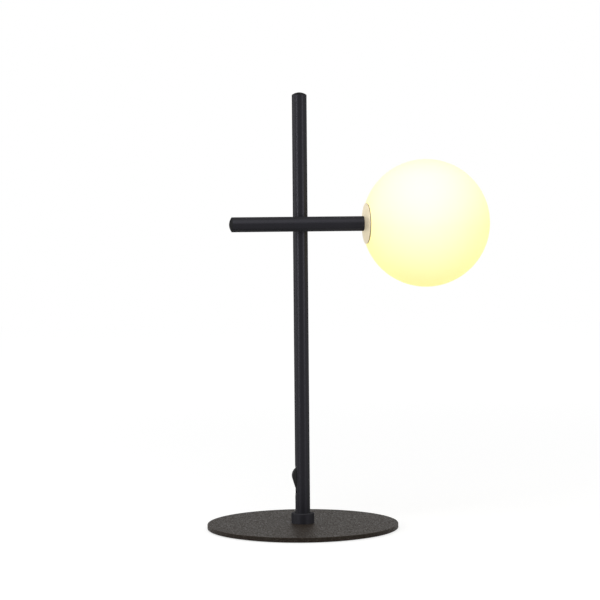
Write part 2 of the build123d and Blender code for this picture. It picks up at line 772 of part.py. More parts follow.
# Neutral splice: crimp sleeve under the neutral lead
with BuildPart() as neutral_splice:
    with BuildSketch(Plane.XY.offset(splice_base)):
        with Locations((splice_x, -splice_forward)):
            Circle(splice_diameter / 2)
    extrude(amount=splice_length)
neutral_splice.part.label = "neutral_splice"

finished = [
    base_pad.part, base_plate.part, foot_screw.part, foot_plug.part, base_collar.part, collar_screw.part,
    post_tube.part, post_plug, cable_bush.part,
    switch_housing.part, switch_rocker.part, switch_pin.part, switch_terminals.part,
    cross_saddle.part, cross_nipple.part, post_nut.part, arm_nut.part,
    arm_tube.part, arm_plug, head_bush.part, head_nipple.part, head_nut.part,
    globe_cap.part, globe_carrier.part, globe_gasket.part, globe.part,
    lampholder_bracket.part, bracket_screws.part, lampholder.part, lampholder_contacts.part,
    bulb_base.part, bulb_pins, bulb_core.part, bulb_envelope.part,
    live_lead, neutral_lead, neutral_splice.part,
]
for piece in finished:
    export_step(piece, f"parts/{piece.label}.step")
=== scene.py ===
"""Bedside lamp: finishes, fine pieces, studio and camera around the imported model."""
import logging
import math
from dataclasses import dataclass, field
from enum import Enum
from typing import Callable, ClassVar, Iterable, Sequence

import bmesh
import bpy
from mathutils import Matrix, Vector


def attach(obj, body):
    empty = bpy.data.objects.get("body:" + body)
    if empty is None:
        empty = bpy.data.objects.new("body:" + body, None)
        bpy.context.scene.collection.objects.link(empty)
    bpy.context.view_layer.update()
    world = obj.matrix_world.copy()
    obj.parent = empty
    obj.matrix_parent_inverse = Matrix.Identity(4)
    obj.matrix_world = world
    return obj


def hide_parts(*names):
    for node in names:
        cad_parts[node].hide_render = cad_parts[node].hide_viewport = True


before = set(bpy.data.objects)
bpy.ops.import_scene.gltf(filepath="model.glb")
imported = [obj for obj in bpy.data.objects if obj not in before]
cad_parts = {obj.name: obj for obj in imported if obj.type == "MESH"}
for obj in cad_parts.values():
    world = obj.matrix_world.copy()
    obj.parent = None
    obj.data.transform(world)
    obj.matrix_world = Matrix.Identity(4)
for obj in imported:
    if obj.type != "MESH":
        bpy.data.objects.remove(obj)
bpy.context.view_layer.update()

log = logging.getLogger("bedside_lamp")

Colour = tuple[float, float, float]
Point = tuple[float, float, float]
Term = bpy.types.NodeSocket | float | tuple[float, ...]

FULL_TURN = 2.0 * math.pi
ORIGIN: Point = (0.0, 0.0, 0.0)
WHITE: Colour = (1.0, 1.0, 1.0)

# The arm's axis lies along X. The globe's emission is whitest at a point above that axis,
# where painted light from above is added to the bulb's glow.
AXIS_Y = -0.0182
AXIS_Z = 0.3347
HEAD_X = 0.13685
BULB_X = 0.132
PAINTED_LIGHT_RISE = 0.035
HEAD_CENTRE: Point = (HEAD_X, AXIS_Y, AXIS_Z)
BULB_MIDDLE: Point = (BULB_X, AXIS_Y, AXIS_Z)
GLOW_AND_PAINTED_LIGHT_MIDDLE: Point = (HEAD_X, AXIS_Y, AXIS_Z + PAINTED_LIGHT_RISE)

# An offset times one of these keeps only its part across that axis.
ACROSS_X: Point = (0.0, 1.0, 1.0)
ACROSS_Z: Point = (1.0, 1.0, 0.0)

# Most values of a noise lie in NOISE_SPAN. Along an edge, the paler ring of wear and painted
# highlight is absent below the last span and full above it.
UNIT_SPAN = (0.0, 1.0)
NOISE_SPAN = (0.3, 0.7)
WEAR_AND_HIGHLIGHT_SPAN = (0.4, 0.7)

# Numbers of the sockets that a Mix node uses for colours.
MIX_SHARE, MIX_FIRST, MIX_SECOND, MIX_RESULT = 0, 6, 7, 2

# At this blend, Layer Weight's Facing is one minus the cosine of the angle.
COSINE_BLEND = 0.5
# A higher power keeps a coat's added roughness nearer to the rim.
SLANT_POWER = 1.5


class Body(Enum):
    """Body of the lamp that an added piece rides on."""

    STAND = "stand"


class Look(Enum):
    """Finishes of the lamp; each value is the name of its material."""

    TUBE_COAT = "tube_coat"
    COLLAR_COAT = "collar_coat"
    PLATE_COAT = "plate_coat"
    PLUG_PLASTIC = "plug_plastic"
    SWITCH_PLASTIC = "switch_plastic"
    HOUSING_PLASTIC = "housing_plastic"
    PAD_FOAM = "pad_foam"
    ZINC_STEEL = "zinc_steel"
    BRASS = "brass"
    CHAMPAGNE = "champagne"
    CARRIER_PLASTIC = "carrier_plastic"
    STEATITE = "steatite"
    SILICONE = "silicone"
    OPAL_GLASS = "opal_glass"
    BULB_WHITE = "bulb_white"
    BULB_FROST = "bulb_frost"
    PIN_WIRE = "pin_wire"
    BROWN_SLEEVE = "brown_sleeve"
    BLUE_SLEEVE = "blue_sleeve"


class Ray(Enum):
    """Light Path outputs that see the white studio instead of its light."""

    CAMERA = "Is Camera Ray"
    GLOSSY = "Is Glossy Ray"
    TRANSMISSION = "Is Transmission Ray"


class Curve(Enum):
    """How a mapped value runs between the ends of its range."""

    STRAIGHT = "LINEAR"
    SMOOTH = "SMOOTHSTEP"


class Graph:
    """Adds nodes to one node tree and joins their sockets."""

    def __init__(self, tree: bpy.types.NodeTree) -> None:
        """Keep the tree and empty it."""
        self.tree = tree
        tree.nodes.clear()

    def node(
        self, kind: str, values: dict[str | int, Term] | None = None, **settings: object
    ) -> bpy.types.Node:
        """Add one node.

        Args:
            kind: node type without its ShaderNode prefix, or a NodeGroup type in full.
            values: socket name or number to a constant, or to a socket that feeds it.
            **settings: properties of the node itself, which are set first.

        Returns:
            The new node.
        """
        full = kind if kind.startswith("NodeGroup") else f"ShaderNode{kind}"
        made = self.tree.nodes.new(full)
        for key, value in settings.items():
            setattr(made, key, value)
        for key, value in (values or {}).items():
            if isinstance(value, bpy.types.NodeSocket):
                self.link(value, made.inputs[key])
            else:
                made.inputs[key].default_value = value
        return made

    def math(self, operation: str, *terms: Term) -> bpy.types.NodeSocket:
        """Add a Math node and return its result."""
        return self.node("Math", dict(enumerate(terms)), operation=operation).outputs[0]

    def vector(self, operation: str, *terms: Term) -> bpy.types.Node:
        """Add a Vector Math node and return it."""
        return self.node("VectorMath", dict(enumerate(terms)), operation=operation)

    def span(
        self,
        value: Term,
        given: tuple[Term, Term],
        wanted: tuple[float, float],
        curve: Curve = Curve.STRAIGHT,
    ) -> bpy.types.NodeSocket:
        """Map a value from one range to another and hold it inside.

        Args:
            value: the value to map.
            given: the range that it comes in.
            wanted: the range that it leaves in.
            curve: how it runs between the ends.

        Returns:
            The mapped value's socket.
        """
        terms = dict(enumerate((value, *given, *wanted)))
        return self.node("MapRange", terms, interpolation_type=curve.value).outputs[0]

    def noise(
        self, place: Term, scale: Term, detail: float, roughness: float
    ) -> bpy.types.NodeSocket:
        """Add a noise.

        Args:
            place: point that it is read at.
            scale: changes per metre.
            detail: number of finer layers.
            roughness: strength of each finer layer.

        Returns:
            The noise's socket, 0 to 1.
        """
        values = {"Vector": place, "Scale": scale, "Detail": detail, "Roughness": roughness}
        return self.node("TexNoise", values).outputs["Fac"]

    def mix(self, share: Term, first: Term, second: Term) -> bpy.types.NodeSocket:
        """Mix two colours.

        Args:
            share: part of the second colour.
            first: colour where the share is 0.
            second: colour where the share is 1.

        Returns:
            The mixed colour's socket.
        """
        values = {MIX_SHARE: share, MIX_FIRST: first, MIX_SECOND: second}
        return self.node("Mix", values, data_type="RGBA").outputs[MIX_RESULT]

    def group(self, shared: bpy.types.NodeTree, values: dict[str, Term]) -> bpy.types.Node:
        """Place a shared effect with its own values and return its node."""
        return self.node("Group", values, node_tree=shared)

    def place(self) -> bpy.types.NodeSocket:
        """Return the point on the surface, in the lamp's own frame."""
        return self.node("TexCoord").outputs["Object"]

    def facing(self) -> bpy.types.NodeSocket:
        """Return the slant of the surface, 0 where it is seen square on and 1 at its rim."""
        return self.node("LayerWeight", {"Blend": COSINE_BLEND}).outputs["Facing"]

    def link(self, source: bpy.types.NodeSocket, target: bpy.types.NodeSocket) -> None:
        """Join two sockets."""
        self.tree.links.new(source, target)


def rgba(colour: Colour) -> tuple[float, float, float, float]:
    """Return the colour with full opacity."""
    return (*colour, 1.0)


def new_group(
    name: str, inputs: dict[str, float | Point], outputs: Iterable[str]
) -> tuple[Graph, bpy.types.Node, bpy.types.Node]:
    """Start a shared shader node group.

    Args:
        name: the group's name.
        inputs: input name to its default, a number or a vector.
        outputs: names of the value outputs.

    Returns:
        The group's graph, its input node and its output node.
    """
    tree = bpy.data.node_groups.new(name, "ShaderNodeTree")
    graph = Graph(tree)
    for key, value in inputs.items():
        kind = "NodeSocketFloat" if isinstance(value, float) else "NodeSocketVector"
        socket = tree.interface.new_socket(name=key, in_out="INPUT", socket_type=kind)
        socket.default_value = value
    for key in outputs:
        tree.interface.new_socket(name=key, in_out="OUTPUT", socket_type="NodeSocketFloat")
    return graph, graph.node("NodeGroupInput"), graph.node("NodeGroupOutput")


class Effects:
    """Shared surface effects, each one node group that finishes place with their own values."""

    def __init__(self) -> None:
        """Build every group once."""
        self.grain = self._grain()
        self.sand = self._sand()
        self.rings = self._rings()
        self.dust = self._dust()
        self.rub_and_highlight = self._rub_and_highlight()

    def _grain(self) -> bpy.types.NodeTree:
        """Build the fine orange-peel grain of a coat or a mould.

        Returns:
            Group with a Height that changes at the grain's size and a Tone with its own scale.
        """
        defaults = {"Scale": 900.0, "Tone Scale": 18.0}
        graph, given, result = new_group("fine_grain", defaults, ("Height", "Tone"))
        place = graph.place()
        peel = graph.noise(place, given.outputs["Scale"], detail=3.0, roughness=0.55)
        slow = graph.noise(place, given.outputs["Tone Scale"], detail=4.0, roughness=0.5)
        graph.link(peel, result.inputs["Height"])
        graph.link(slow, result.inputs["Tone"])
        return graph.tree

    def _sand(self) -> bpy.types.NodeTree:
        """Build the gritty texture of a sand coat.

        Returns:
            Group with a Height of rounded grains and a Speck mask that picks the paler grains.
        """
        defaults = {"Scale": 900.0, "Speck Share": 0.35}
        graph, given, result = new_group("sand_grit", defaults, ("Height", "Speck"))
        place, scale = graph.place(), given.outputs["Scale"]
        cells = {"Vector": place, "Scale": scale, "Randomness": 1.0}
        rounded = graph.node("TexVoronoi", cells, feature="SMOOTH_F1").outputs["Distance"]
        uneven = graph.noise(place, scale, detail=2.0, roughness=0.6)
        height = graph.math("MULTIPLY", graph.math("SUBTRACT", 1.0, rounded), uneven)
        picked = graph.node("TexVoronoi", cells).outputs["Color"]
        chance = graph.node("SeparateColor", {0: picked}).outputs[0]
        floor = graph.math("SUBTRACT", 1.0, given.outputs["Speck Share"])
        graph.link(height, result.inputs["Height"])
        graph.link(graph.span(chance, (floor, 1.0), UNIT_SPAN), result.inputs["Speck"])
        return graph.tree

    @staticmethod
    def _about(
        graph: Graph, centre: Term, across: Term
    ) -> tuple[bpy.types.NodeSocket, bpy.types.NodeSocket, bpy.types.NodeSocket]:
        """Find where the surface lies about an axis.

        Args:
            graph: the group's graph.
            centre: a point on the axis.
            across: vector with 0 along the axis and 1 across it.

        Returns:
            The offset from the centre, its part across the axis, and the distance from the axis.
        """
        offset = graph.vector("SUBTRACT", graph.place(), centre).outputs[0]
        flat = graph.vector("MULTIPLY", offset, across).outputs[0]
        return offset, flat, graph.vector("LENGTH", flat).outputs["Value"]

    def _rings(self) -> bpy.types.NodeTree:
        """Build the fine concentric marks of a turned face about an axis along X.

        Returns:
            Group with a Height that changes with the distance from the axis.
        """
        defaults = {"Centre": ORIGIN, "Scale": 2500.0}
        graph, given, result = new_group("lathe_rings", defaults, ("Height",))
        radius = self._about(graph, given.outputs["Centre"], ACROSS_X)[2]
        band = graph.math("MULTIPLY", radius, given.outputs["Scale"])
        values = {"W": band, "Scale": 1.0, "Detail": 3.0, "Roughness": 0.6}
        rough = graph.node("TexNoise", values, noise_dimensions="1D")
        graph.link(rough.outputs["Fac"], result.inputs["Height"])
        return graph.tree

    def _dust(self) -> bpy.types.NodeTree:
        """Build the thin dust that settles on faces that look up.

        Returns:
            Group with a Mask of the dusted parts.
        """
        defaults = {"Amount": 0.1, "Scale": 60.0}
        graph, given, result = new_group("settled_dust", defaults, ("Mask",))
        normal = graph.node("NewGeometry").outputs["True Normal"]
        upright = graph.node("SeparateXYZ", {0: normal}).outputs["Z"]
        level = graph.math("POWER", graph.math("MAXIMUM", upright, 0.0), 2.0)
        cloud = graph.noise(graph.place(), given.outputs["Scale"], detail=6.0, roughness=0.65)
        patch = graph.math("MULTIPLY", level, cloud)
        graph.link(graph.math("MULTIPLY", patch, given.outputs["Amount"]), result.inputs["Mask"])
        return graph.tree

    def _rub_and_highlight(self) -> bpy.types.NodeTree:
        """Build a paler ring on a round edge: wear from hands and cloths, and a painted
        highlight.

        Returns:
            Group with a Mask along a circle of a radius about an axis, level with Centre. Across
            has 0 along the axis and 1 across it.
        """
        defaults = {
            "Centre": ORIGIN, "Across": ACROSS_Z, "Radius": 0.1, "Width": 0.001, "Scale": 90.0
        }
        graph, given, result = new_group("edge_wear_and_highlight", defaults, ("Mask",))
        offset, flat, radius = self._about(
            graph, given.outputs["Centre"], given.outputs["Across"])
        inward = graph.math("SUBTRACT", radius, given.outputs["Radius"])
        along = graph.vector("DISTANCE", offset, flat).outputs["Value"]
        squares = (graph.math("POWER", side, 2.0) for side in (inward, along))
        apart = graph.math("SQRT", graph.math("ADD", *squares))
        near = graph.span(apart, (0.0, given.outputs["Width"]), (1.0, 0.0), Curve.SMOOTH)
        patch = graph.noise(graph.place(), given.outputs["Scale"], detail=5.0, roughness=0.7)
        worn_and_highlit = graph.span(patch, WEAR_AND_HIGHLIGHT_SPAN, UNIT_SPAN)
        graph.link(graph.math("MULTIPLY", near, worn_and_highlit), result.inputs["Mask"])
        return graph.tree


@dataclass(frozen=True)
class Finish:
    """A grained coat, plastic, rubber, ceramic or plain metal.

    Attributes:
        look: which finish it is.
        colour: main colour.
        second: colour that the tone drifts to.
        roughness: mean roughness.
        spread: how far the grain moves the roughness.
        metallic: 1 for bare metal.
        specular: specular level of the shader.
        grain_scale: grains per metre.
        grain_depth: height of the grain in metres.
        tone_scale: changes of the tone per metre.
        dust: share of dust on faces that look up.
        dust_colour: colour of that dust.
        tint: tint of the plain reflection.
        slant: roughness that the coat gains at a slant, where its grain hides the gloss.
    """

    look: Look
    colour: Colour
    second: Colour
    roughness: float
    spread: float
    metallic: float = 0.0
    specular: float = 0.5
    grain_scale: float = 1500.0
    grain_depth: float = 6e-6
    tone_scale: float = 18.0
    dust: float = 0.0
    dust_colour: Colour = (0.5, 0.48, 0.45)
    tint: Colour = WHITE
    slant: float = 0.0

    def start(self) -> tuple[bpy.types.Material, Graph, bpy.types.Node]:
        """Make the material with its shader and output.

        Returns:
            The material, its graph and its shader node.
        """
        material = bpy.data.materials.new(self.look.value)
        material.use_nodes = True
        material.diffuse_color = rgba(self.colour)
        graph = Graph(material.node_tree)
        shader = graph.node("BsdfPrincipled", {
            "Metallic": self.metallic,
            "Specular IOR Level": self.specular,
            "Specular Tint": rgba(self.tint),
        })
        graph.node("OutputMaterial", {"Surface": shader.outputs[0]})
        return material, graph, shader

    def place_grain(self, graph: Graph, effects: Effects) -> bpy.types.Node:
        """Place the fine grain at this finish's scales and return its node."""
        scales = {"Scale": self.grain_scale, "Tone Scale": self.tone_scale}
        return graph.group(effects.grain, scales)

    def drift(self, graph: Graph, share: bpy.types.NodeSocket) -> bpy.types.NodeSocket:
        """Return the main colour as it drifts to the second one."""
        return graph.mix(share, rgba(self.colour), rgba(self.second))

    def dusted(
        self, graph: Graph, effects: Effects, colour: bpy.types.NodeSocket
    ) -> bpy.types.NodeSocket:
        """Lay dust on a colour.

        Args:
            graph: the material's graph.
            effects: the shared effects.
            colour: colour without the dust.

        Returns:
            The colour with the dust, or as it was where the finish has none.
        """
        if self.dust <= 0.0:
            return colour
        dust = graph.group(effects.dust, {"Amount": self.dust})
        return graph.mix(dust.outputs["Mask"], colour, rgba(self.dust_colour))

    def raise_grain(
        self, graph: Graph, shader: bpy.types.Node, height: bpy.types.NodeSocket
    ) -> None:
        """Give the shader the grain's relief, from a height of 0 to 1."""
        relief = {"Height": height, "Distance": self.grain_depth, "Strength": 1.0}
        graph.link(graph.node("Bump", relief).outputs[0], shader.inputs["Normal"])

    def roughen(
        self, graph: Graph, shader: bpy.types.Node, change: bpy.types.NodeSocket
    ) -> None:
        """Give the shader a roughness that follows the grain and grows at a slant.

        Args:
            graph: the material's graph.
            shader: the shader node.
            change: noise that moves the roughness.
        """
        ends = (self.roughness - self.spread, self.roughness + self.spread)
        rough = graph.span(change, NOISE_SPAN, ends)
        if self.slant > 0.0:
            late = graph.math("POWER", graph.facing(), SLANT_POWER)
            rough = graph.math("ADD", rough, graph.math("MULTIPLY", late, self.slant))
        graph.link(rough, shader.inputs["Roughness"])

    def material(self, effects: Effects) -> bpy.types.Material:
        """Build the finish.

        Args:
            effects: the shared effects.

        Returns:
            The finished material.
        """
        material, graph, shader = self.start()
        grain = self.place_grain(graph, effects)
        colour = self.dusted(graph, effects, self.drift(graph, grain.outputs["Tone"]))
        graph.link(colour, shader.inputs["Base Color"])
        self.roughen(graph, shader, grain.outputs["Height"])
        self.raise_grain(graph, shader, grain.outputs["Height"])
        return material


@dataclass(frozen=True)
class SandCoat(Finish):
    """Gritty textured coat with paler grains.

    Attributes:
        dust_colour: colour of the dust.
        speck_and_highlight: colour of the paler grains, also laid along the top edge as wear and
            a painted highlight.
        speck_share: share of the grains that are paler.
        edge_radius: radius of the top edge that carries the paler ring of wear and painted
            highlight.
        edge_level: height of that edge.
        edge_width: width of the paler ring.
    """

    dust_colour: Colour = (0.5, 0.47, 0.43)
    speck_and_highlight: Colour = (0.048, 0.039, 0.0315)
    speck_share: float = 0.3
    edge_radius: float = 0.1048
    edge_level: float = 0.0058
    edge_width: float = 0.0007

    def material(self, effects: Effects) -> bpy.types.Material:
        """Build the finish.

        Args:
            effects: the shared effects.

        Returns:
            The finished material.
        """
        material, graph, shader = self.start()
        sand = graph.group(
            effects.sand, {"Scale": self.grain_scale, "Speck Share": self.speck_share})
        tone = self.place_grain(graph, effects).outputs["Tone"]
        rub_and_highlight = graph.group(effects.rub_and_highlight, {
            "Centre": (0.0, 0.0, self.edge_level),
            "Radius": self.edge_radius,
            "Width": self.edge_width,
        })
        colour = self.drift(graph, tone)
        # The paler specks are grit in the coat; the paler ring along the top edge is wear and a
        # painted highlight.
        for mask in (sand.outputs["Speck"], rub_and_highlight.outputs["Mask"]):
            colour = graph.mix(mask, colour, rgba(self.speck_and_highlight))
        graph.link(self.dusted(graph, effects, colour), shader.inputs["Base Color"])
        self.roughen(graph, shader, tone)
        self.raise_grain(graph, shader, sand.outputs["Height"])
        return material


@dataclass(frozen=True)
class TurnedMetal(Finish):
    """Satin metal turned on a lathe about an axis along X.

    Attributes:
        centre: a point on the axis.
        ring_scale: marks per metre of radius.
        edge: paler colour of the rim ring, which is wear and a painted highlight.
        edge_radius: radius of that edge.
        edge_level: place of that edge along the axis.
        edge_width: width of that edge.
    """

    centre: Point = HEAD_CENTRE
    ring_scale: float = 5000.0
    edge: Colour = (0.9, 0.85, 0.75)
    edge_radius: float = 0.0224
    edge_level: float = 0.0696
    edge_width: float = 0.0005

    def material(self, effects: Effects) -> bpy.types.Material:
        """Build the finish.

        Args:
            effects: the shared effects.

        Returns:
            The finished material.
        """
        material, graph, shader = self.start()
        rings = graph.group(effects.rings, {"Centre": self.centre, "Scale": self.ring_scale})
        grain = self.place_grain(graph, effects)
        rub_and_highlight = graph.group(effects.rub_and_highlight, {
            "Centre": (self.edge_level, *self.centre[1:]),
            "Across": ACROSS_X,
            "Radius": self.edge_radius,
            "Width": self.edge_width,
        })
        colour = self.drift(graph, rings.outputs["Height"])
        # The paler ring on the cap's rim is wear and a painted highlight.
        rubbed_and_highlit = graph.mix(rub_and_highlight.outputs["Mask"], colour, rgba(self.edge))
        graph.link(rubbed_and_highlit, shader.inputs["Base Color"])
        self.roughen(graph, shader, grain.outputs["Tone"])
        self.raise_grain(graph, shader, rings.outputs["Height"])
        return material


@dataclass(frozen=True)
class OpalGlass(Finish):
    """Opal glass that glows from a bulb inside it, with painted light from above on the globe.

    Attributes:
        glow: emitted colour at the near distance from the whitest point; on the globe it holds
            painted light from above on top of the bulb's glow.
        dim: emitted colour at the far distance from it.
        rim: emitted colour that the glass turns to at a slant, where the glow crosses more glass.
        rim_share: how far it turns at a full slant.
        glow_and_painted_light_point: point inside the glass where the emission is whitest, in
            metres: the bulb's middle on the bulb, and on the globe a point above its middle,
                where painted light from above is added.
            near, far: distances from that point, in metres.
        strength: strength of the emission.
    """

    glow: Colour = WHITE
    dim: Colour = WHITE
    rim: Colour = WHITE
    rim_share: float = 0.0
    glow_and_painted_light_point: Point = ORIGIN
    near: float = 0.0
    far: float = 1.0
    strength: float = 1.0

    def material(self, effects: Effects) -> bpy.types.Material:
        """Build the finish.

        Args:
            effects: the shared effects.

        Returns:
            The finished material.
        """
        material, graph, shader = self.start()
        grain = self.place_grain(graph, effects)
        graph.link(self.drift(graph, grain.outputs["Tone"]), shader.inputs["Base Color"])
        # The emission runs from glow near the point to dim away from it; on the globe the whiter
        # part is painted light from above.
        away = graph.vector("DISTANCE", graph.place(), self.glow_and_painted_light_point).outputs["Value"]
        share = graph.span(away, (self.near, self.far), UNIT_SPAN)
        emitted = graph.mix(share, rgba(self.glow), rgba(self.dim))
        if self.rim_share > 0.0:
            slant = graph.math("SQRT", graph.facing())
            turned = graph.math("MULTIPLY", slant, self.rim_share)
            emitted = graph.mix(turned, emitted, rgba(self.rim))
        graph.link(emitted, shader.inputs["Emission Color"])
        shader.inputs["Emission Strength"].default_value = self.strength
        self.roughen(graph, shader, grain.outputs["Height"])
        self.raise_grain(graph, shader, grain.outputs["Height"])
        return material


COAT_BLACK: Colour = (0.0018, 0.0018, 0.0024)
COAT_BLACK_TWO: Colour = (0.003, 0.003, 0.0038)
COOL_TINT: Colour = (0.88, 0.86, 1.0)

FINISHES: tuple[Finish, ...] = (
    Finish(
        Look.TUBE_COAT, COAT_BLACK, COAT_BLACK_TWO, roughness=0.34, spread=0.04,
        specular=0.245, grain_scale=1400.0, dust=0.006, tint=COOL_TINT, slant=0.9,
    ),
    Finish(
        Look.COLLAR_COAT, COAT_BLACK, COAT_BLACK_TWO, roughness=0.42, spread=0.05,
        specular=0.33, grain_scale=1400.0, dust=0.006, tint=COOL_TINT, slant=1.2,
    ),
    SandCoat(
        Look.PLATE_COAT, (0.0085, 0.0061, 0.0044), (0.0225, 0.0165, 0.0118),
        roughness=0.43, spread=0.29, specular=0.08, grain_scale=1250.0, grain_depth=6e-5,
        tone_scale=750.0, dust=0.004, slant=0.2,
    ),
    Finish(
        Look.PLUG_PLASTIC, COAT_BLACK, COAT_BLACK_TWO, roughness=0.5, spread=0.06,
        specular=0.1, grain_scale=2200.0, slant=0.5,
    ),
    Finish(
        Look.SWITCH_PLASTIC, (0.006, 0.006, 0.0065), (0.009, 0.009, 0.0095),
        roughness=0.45, spread=0.08, specular=0.2, grain_scale=2600.0, grain_depth=1.2e-5,
        slant=0.4,
    ),
    Finish(
        Look.HOUSING_PLASTIC, (0.012, 0.012, 0.012), (0.018, 0.018, 0.018),
        roughness=0.6, spread=0.08, specular=0.3, grain_scale=1800.0, grain_depth=1e-5,
    ),
    Finish(
        Look.PAD_FOAM, (0.02, 0.02, 0.02), (0.035, 0.035, 0.034),
        roughness=0.9, spread=0.05, specular=0.2, grain_scale=1100.0, grain_depth=2e-4,
    ),
    Finish(
        Look.ZINC_STEEL, (0.55, 0.55, 0.57), (0.62, 0.61, 0.6),
        roughness=0.34, spread=0.08, metallic=1.0,
    ),
    Finish(
        Look.BRASS, (0.72, 0.52, 0.24), (0.78, 0.6, 0.32),
        roughness=0.3, spread=0.07, metallic=1.0, grain_scale=1600.0, grain_depth=5e-6,
    ),
    TurnedMetal(
        Look.CHAMPAGNE, (0.96, 0.83, 0.58), (0.98, 0.87, 0.63),
        roughness=0.5, spread=0.05, metallic=0.45, specular=0.3, grain_scale=1200.0,
    ),
    Finish(
        Look.CARRIER_PLASTIC, (0.78, 0.78, 0.75), (0.82, 0.82, 0.8), roughness=0.4, spread=0.06,
    ),
    Finish(
        Look.STEATITE, (0.8, 0.79, 0.74), (0.86, 0.85, 0.81),
        roughness=0.6, spread=0.1, grain_scale=1800.0, grain_depth=1.5e-5,
    ),
    Finish(
        Look.SILICONE, (0.12, 0.085, 0.045), (0.15, 0.11, 0.06),
        roughness=0.6, spread=0.06, specular=0.2, grain_depth=8e-6,
    ),
    # The globe's emission is whiter towards a point above its middle: painted light from above
    # over the bulb's yellow glow.
    OpalGlass(
        Look.OPAL_GLASS, (0.5, 0.5, 0.45), (0.52, 0.52, 0.468),
        roughness=0.5, spread=0.04, specular=0.12, grain_scale=300.0, grain_depth=3e-6,
        tone_scale=8.0, glow=(0.86, 0.82, 0.66), dim=(0.84, 0.77, 0.375),
        rim=(0.9, 0.66, 0.0), rim_share=0.58, glow_and_painted_light_point=GLOW_AND_PAINTED_LIGHT_MIDDLE, near=0.05, far=0.08,
    ),
    Finish(
        Look.BULB_WHITE, (0.82, 0.82, 0.8), (0.86, 0.86, 0.84), roughness=0.45, spread=0.05,
    ),
    OpalGlass(
        Look.BULB_FROST, (0.46, 0.44, 0.38), (0.5, 0.48, 0.42),
        roughness=0.4, spread=0.05, grain_scale=900.0, grain_depth=4e-6,
        glow=(0.42, 0.36, 0.2), dim=(0.36, 0.3, 0.15), glow_and_painted_light_point=BULB_MIDDLE, near=0.008, far=0.025,
    ),
    Finish(
        Look.PIN_WIRE, (0.62, 0.61, 0.58), (0.68, 0.67, 0.64),
        roughness=0.3, spread=0.06, metallic=1.0, grain_scale=2500.0, grain_depth=4e-6,
    ),
    Finish(
        Look.BROWN_SLEEVE, (0.12, 0.05, 0.025), (0.15, 0.065, 0.03),
        roughness=0.5, spread=0.05, grain_scale=1800.0,
    ),
    Finish(
        Look.BLUE_SLEEVE, (0.03, 0.1, 0.32), (0.04, 0.12, 0.36),
        roughness=0.5, spread=0.05, grain_scale=1800.0,
    ),
)


@dataclass
class Finishes:
    """Every material of the lamp, made once.

    Attributes:
        effects: the shared effects.
        made: finish to its material.
    """

    effects: Effects
    made: dict[Look, bpy.types.Material] = field(default_factory=dict)

    def __post_init__(self) -> None:
        """Build the materials from their finishes."""
        for finish in FINISHES:
            self.made[finish.look] = finish.material(self.effects)

    def dress(self, node: str, look: Look) -> None:
        """Give a carried-over node its material.

        Args:
            node: name of the node.
            look: finish that it wears.
        """
        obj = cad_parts[node]
        if not obj.material_slots:
            obj.data.materials.append(self.made[look])
        for place in obj.material_slots:
            place.material = self.made[look]
        log.info("dressed %s in %s", node, look.value)


def put(name: str, data: bpy.types.ID) -> bpy.types.Object:
    """Add an object to the scene.

    Args:
        name: the object's name.
        data: its mesh, lamp or camera.

    Returns:
        The new object.
    """
    obj = bpy.data.objects.new(name, data)
    bpy.context.scene.collection.objects.link(obj)
    return obj


def mesh_of(name: str, work: bmesh.types.BMesh) -> bpy.types.Mesh:
    """Turn finished mesh code into a mesh.

    Args:
        name: the mesh's name.
        work: mesh code's result, which is freed.

    Returns:
        The mesh.
    """
    mesh = bpy.data.meshes.new(name)
    work.to_mesh(mesh)
    work.free()
    return mesh


def mesh_piece(
    name: str,
    build: Callable[[bmesh.types.BMesh], None],
    material: bpy.types.Material,
    body: Body,
) -> bpy.types.Object:
    """Make a piece from mesh code and let it ride on a body.

    Args:
        name: the piece's name.
        build: function that fills the mesh.
        material: the piece's material.
        body: body that it moves with.

    Returns:
        The new object.
    """
    work = bmesh.new()
    build(work)
    bmesh.ops.recalc_face_normals(work, faces=work.faces)
    mesh = mesh_of(name, work)
    mesh.materials.append(material)
    for face in mesh.polygons:
        face.use_smooth = True
    piece = put(name, mesh)
    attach(piece, body.value)
    log.info("built %s with %d faces", name, len(mesh.polygons))
    return piece


def lathe(
    work: bmesh.types.BMesh, profile: Sequence[tuple[float, float]], segments: int
) -> None:
    """Turn a closed profile about the Z axis.

    Args:
        work: mesh to fill.
        profile: (radius, height) points, in metres; a radius of 0 closes on the axis.
        segments: steps around the axis.
    """
    turn = [FULL_TURN * k / segments for k in range(segments)]
    rings: list[list[bmesh.types.BMVert]] = []
    for radius, height in profile:
        angles = turn if radius > 0.0 else turn[:1]
        rings.append([
            work.verts.new((radius * math.cos(angle), radius * math.sin(angle), height))
            for angle in angles
        ])
    for low, high in zip(rings, rings[1:] + rings[:1]):
        if len(low) == 1 and len(high) == 1:
            continue
        for k in range(segments):
            after = (k + 1) % segments
            corners = (
                low[k % len(low)], low[after % len(low)],
                high[after % len(high)], high[k % len(high)],
            )
            work.faces.new(list(dict.fromkeys(corners)))


@dataclass
class Assembly:
    """Pieces of the lamp that belong together.

    Attributes:
        looks: node to the finish that it wears.
    """

    looks: ClassVar[dict[str, Look]] = {}

    def build(self, finishes: Finishes) -> None:
        """Make the assembly's own pieces and dress its nodes.

        Args:
            finishes: materials of the lamp.
        """
        self.add_pieces(finishes)
        for node, look in self.looks.items():
            finishes.dress(node, look)

    def add_pieces(self, finishes: Finishes) -> None:
        """Add nothing, unless an assembly has pieces of its own."""


